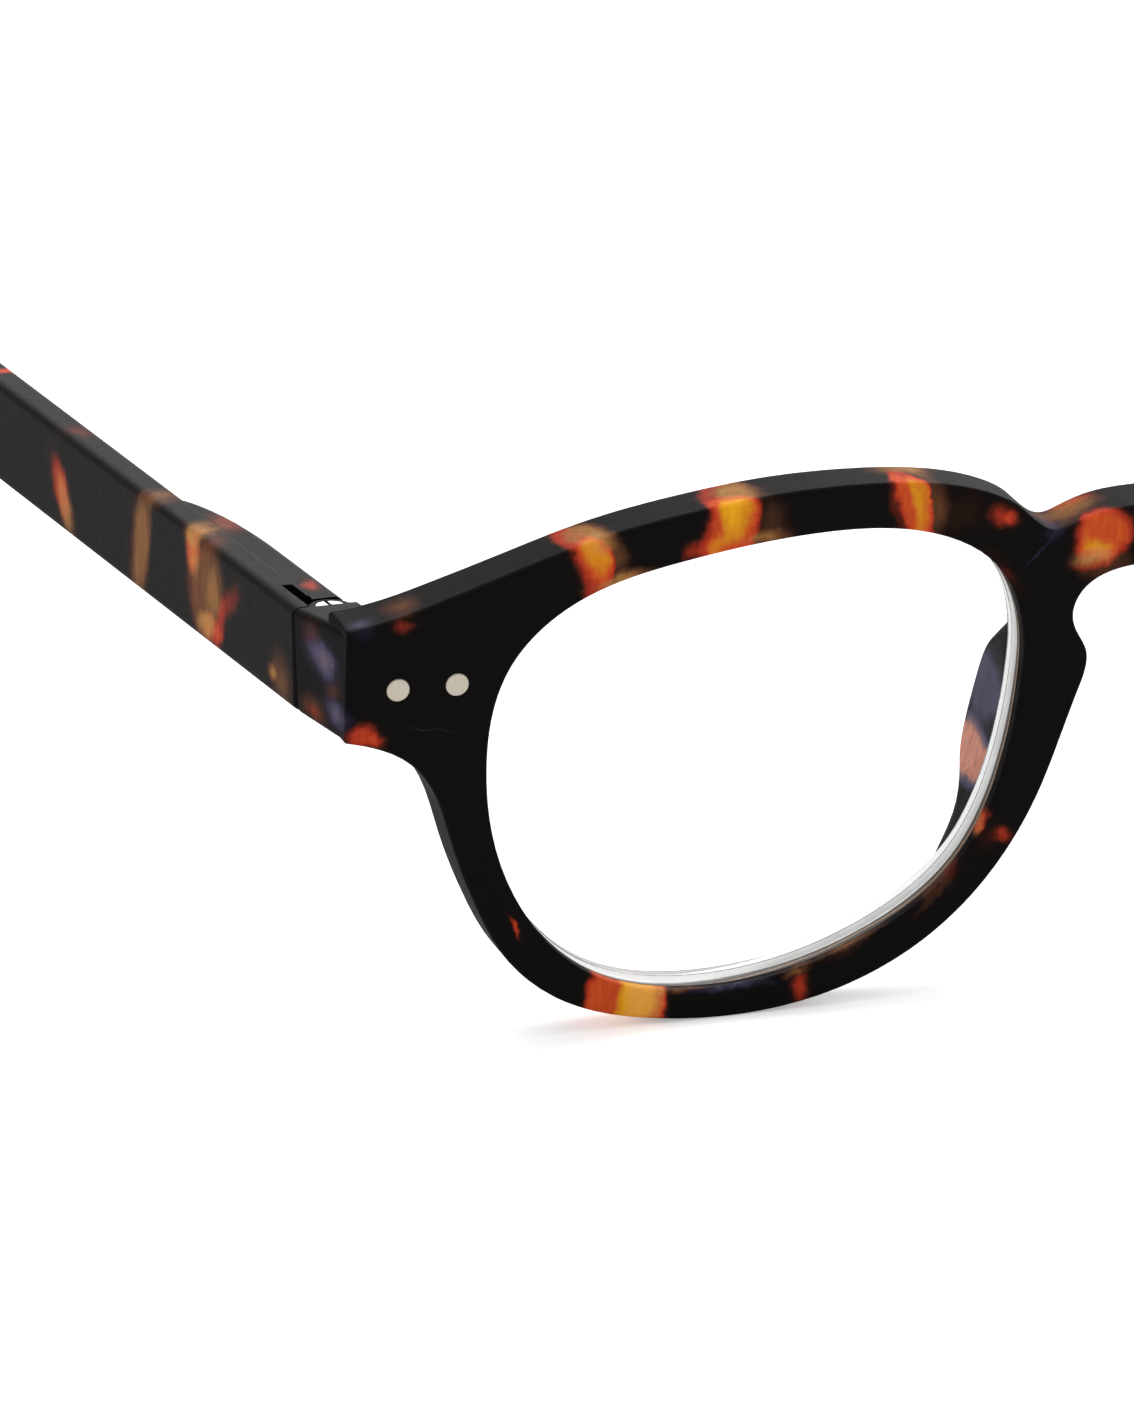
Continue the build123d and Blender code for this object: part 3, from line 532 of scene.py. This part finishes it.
for side, flip in (("right", 1), ("left", -1)):
    upright = Matrix.Rotation(lean, 3, "X")
    axis = upright @ Matrix.Rotation(-flip * LENS_TURN, 3, "Z") @ Vector((0, 1, 0))
    middle = front_middle + upright @ Vector((flip * LENS_MIDDLE.x, LENS_MIDDLE.y, LENS_MIDDLE.z))
    clear, n = material(f"lens_{side}")

    # the cut edge, frosted, with streaks that follow its depth, and painted rim shade with a thin painted
    # highlight line at its front
    own = in_own_frame(n, front_middle, lean)
    spot = n.add("ShaderNodeTexCoord", out="Object")
    depth = n.add("ShaderNodeVectorMath", {0: spot, 1: axis * MM_PER_METRE}, "Value", operation="DOT_PRODUCT")
    depth = (depth - (middle.dot(axis) + RIM_LIP)) * (1 / EDGE_THICKNESS)
    frost = noise(n, own, FROST, detail=5.0, roughness=0.7)
    drift = noise(n, own, DRIFT, detail=2.0) * 0.2 + frost * 0.1 - 0.15
    along = n.add("ShaderNodeSeparateXYZ", {"Vector": own}, "X")
    # less painted rim shade towards the temple
    rim_shade_fade = n.add("ShaderNodeMapRange", {
        "Value": along, "From Min": flip * -RIM_SHADE_FADE_FROM, "From Max": flip * -RIM_SHADE_FADE_AT,
        "To Max": RIM_SHADE_FADE}, interpolation_type="SMOOTHSTEP")
    streaks_and_shade = n.add("ShaderNodeValToRGB", {"Fac": depth + drift + rim_shade_fade}, stops=EDGE_STREAKS_AND_RIM_SHADE)
    # the edge's colour is also emitted, as a painted glow
    edge = n.add("ShaderNodeBsdfPrincipled", {
        "Base Color": streaks_and_shade, "Roughness": frost * FROST_CHANGE + FROST_ROUGH,
        "Emission Color": streaks_and_shade, "Emission Strength": PAINTED_EDGE_GLOW})

    # the polished faces, clear, with a coating whose gloss grows with the slant
    see_through = n.add("ShaderNodeBsdfTransparent", {"Color": CLEAR_ACRYLIC})
    gloss = n.add("ShaderNodeBsdfGlossy", {"Color": (1, 1, 1, 1), "Roughness": COATING_ROUGH})
    slant = n.add("ShaderNodeLayerWeight", {"Blend": 0.5}, "Facing")
    share = n.add("ShaderNodeMath", {0: slant, 1: 5.0}, operation="POWER") + COATING_SHINE
    face = n.add("ShaderNodeMixShader", {0: share, 1: see_through, 2: gloss})

    outwards = n.add("ShaderNodeTexCoord", out="Normal")
    square = n.add("ShaderNodeVectorMath", {0: outwards, 1: axis}, "Value", operation="DOT_PRODUCT")
    square = n.add("ShaderNodeMath", {0: square}, operation="ABSOLUTE")
    polished = n.add("ShaderNodeMath", {0: square, 1: SQUARE_ON}, operation="GREATER_THAN")
    whole = n.add("ShaderNodeMixShader", {0: polished, 1: edge, 2: face})
    n.add("ShaderNodeOutputMaterial", {"Surface": whole})
    put_on(f"lens_{side}", clear)

# ---------------------------------------------------------------- rivets
# Two studs on each end piece, turned from nickel silver and pressed in; their domed heads are polished
# with the front and stand a hair proud of it.

MARK_BUMP, MARK_METRES, MARK_GLOSS = 0.1, 0.00001, 0.15


def metal(name, colour, spread, rough, scratch, stretch=(1, 1, 1)):
    """Bare metal: colour and gloss vary a little along its tool marks."""
    made, n = material(name)
    place = n.add("ShaderNodeTexCoord", out="Object")
    scale = [along * MM_PER_METRE for along in stretch]
    place = n.add("ShaderNodeMapping", {"Vector": place, "Scale": scale})
    marks = noise(n, place, scratch, detail=4.0, roughness=0.6)
    dark = [part * (1 - spread) for part in colour]
    pale = [min(1.0, part * (1 + spread)) for part in colour]
    tone = n.add("ShaderNodeValToRGB", {"Fac": marks}, stops=[(0.3, dark), (0.7, pale)])
    bump = n.add("ShaderNodeBump", {"Strength": MARK_BUMP, "Distance": MARK_METRES, "Height": marks})
    surface = n.add("ShaderNodeBsdfPrincipled", {
        "Base Color": tone, "Metallic": 1.0, "Roughness": marks * MARK_GLOSS + rough, "Normal": bump})
    n.add("ShaderNodeOutputMaterial", {"Surface": surface})
    return made


studs = metal("nickel_silver", (0.60, 0.545, 0.455), spread=0.06, rough=0.45, scratch=1.5)
for name in ("rivet_outer_right", "rivet_inner_right", "rivet_outer_left", "rivet_inner_left"):
    put_on(name, studs)

# ---------------------------------------------------------------- hinges
# Inside each end piece a slotted steel screw turns in a brass insert. Round it a steel sleeve carries the
# tongue, whose rod runs through a small coil spring in a steel box moulded into the temple.

bright = metal("screw_steel", (0.50, 0.49, 0.47), 0.12, rough=0.32, scratch=3.0, stretch=(1, 1, 0.2))
brass = metal("turned_brass", (0.74, 0.56, 0.25), 0.10, rough=0.28, scratch=3.0, stretch=(1, 1, 4))
ground = metal("ground_steel", (0.60, 0.60, 0.61), 0.10, rough=0.25, scratch=4.0, stretch=(0.3, 0.3, 4))
tumbled = metal("tumbled_steel", (0.62, 0.61, 0.59), 0.14, rough=0.35, scratch=1.6)
drawn = metal("spring_wire", (0.46, 0.46, 0.48), 0.12, rough=0.25, scratch=5.0)
satin = metal("satin_steel", (0.64, 0.63, 0.61), 0.10, rough=0.38, scratch=1.2, stretch=(4, 0.25, 4))
for piece, finish in (("hinge_screw", bright), ("thread_insert", brass), ("pivot_sleeve", ground),
                      ("spring_collar", ground), ("spring_seat", ground), ("hinge_tongue", tumbled),
                      ("flex_spring", drawn), ("spring_box", satin)):
    for side in ("right", "left"):
        put_on(f"{piece}_{side}", finish)
